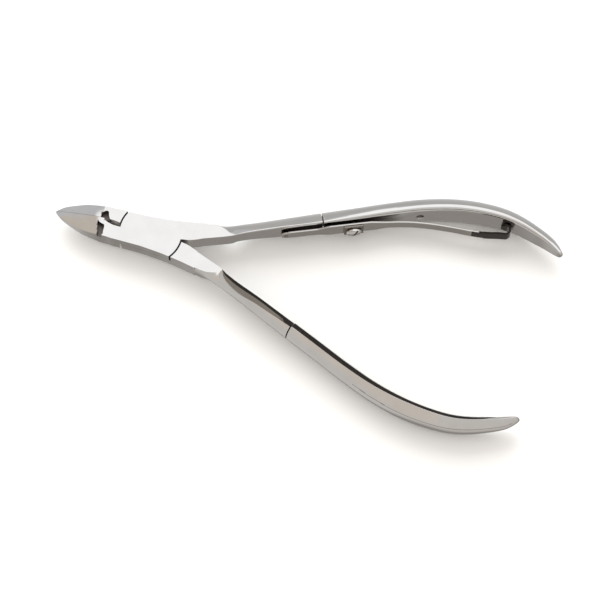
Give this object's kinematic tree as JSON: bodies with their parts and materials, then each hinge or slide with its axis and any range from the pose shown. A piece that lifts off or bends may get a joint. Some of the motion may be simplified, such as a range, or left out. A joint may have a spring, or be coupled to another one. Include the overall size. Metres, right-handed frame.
{
  "type": "cuticle nipper",
  "caption": "Lap-joint cuticle nipper with half-moon jaws, bowed oval handles and a leaf spring that swivels on a screw in one handle.",
  "frame": {"origin": "on the pivot axis, on the flat top face of the lap joint", "axes": "+Z along the pivot axis and out of the top face, +X from the jaws towards the handles on the centre line, +Y towards the handle that carries the spring"},
  "size_m": [0.1053, 0.0504, 0.0088],
  "materials": {
    "polished_steel": "mirror polished stainless steel",
    "spring_steel": "polished spring steel strip",
    "screw_steel": "turned and polished stainless steel"
  },
  "bodies": {
    "upper_half": {"upper_arm": "polished_steel", "upper_handle": "polished_steel", "pivot_screw": "screw_steel", "spring_screw": "screw_steel"},
    "lower_half": {"lower_arm": "polished_steel", "lower_handle": "polished_steel"},
    "spring": {"leaf_spring": "spring_steel", "washer_plate": "spring_steel", "detent_nub": "screw_steel"}
  },
  "joints": [
    {"name": "handle_pivot", "type": "hinge", "parent": "upper_half", "child": "lower_half", "pos_m": [0, 0, -0.0025], "axis": [0, 0, -1], "range_deg": [0, 25]},
    {"name": "spring_swivel", "type": "hinge", "parent": "upper_half", "child": "spring", "pos_m": [0.0403, 0.01366, -0.0025], "axis": [0.373, -0.9278, 0], "range_deg": [0, 180], "deforming": ["leaf_spring", "detent_nub"]}
  ]
}
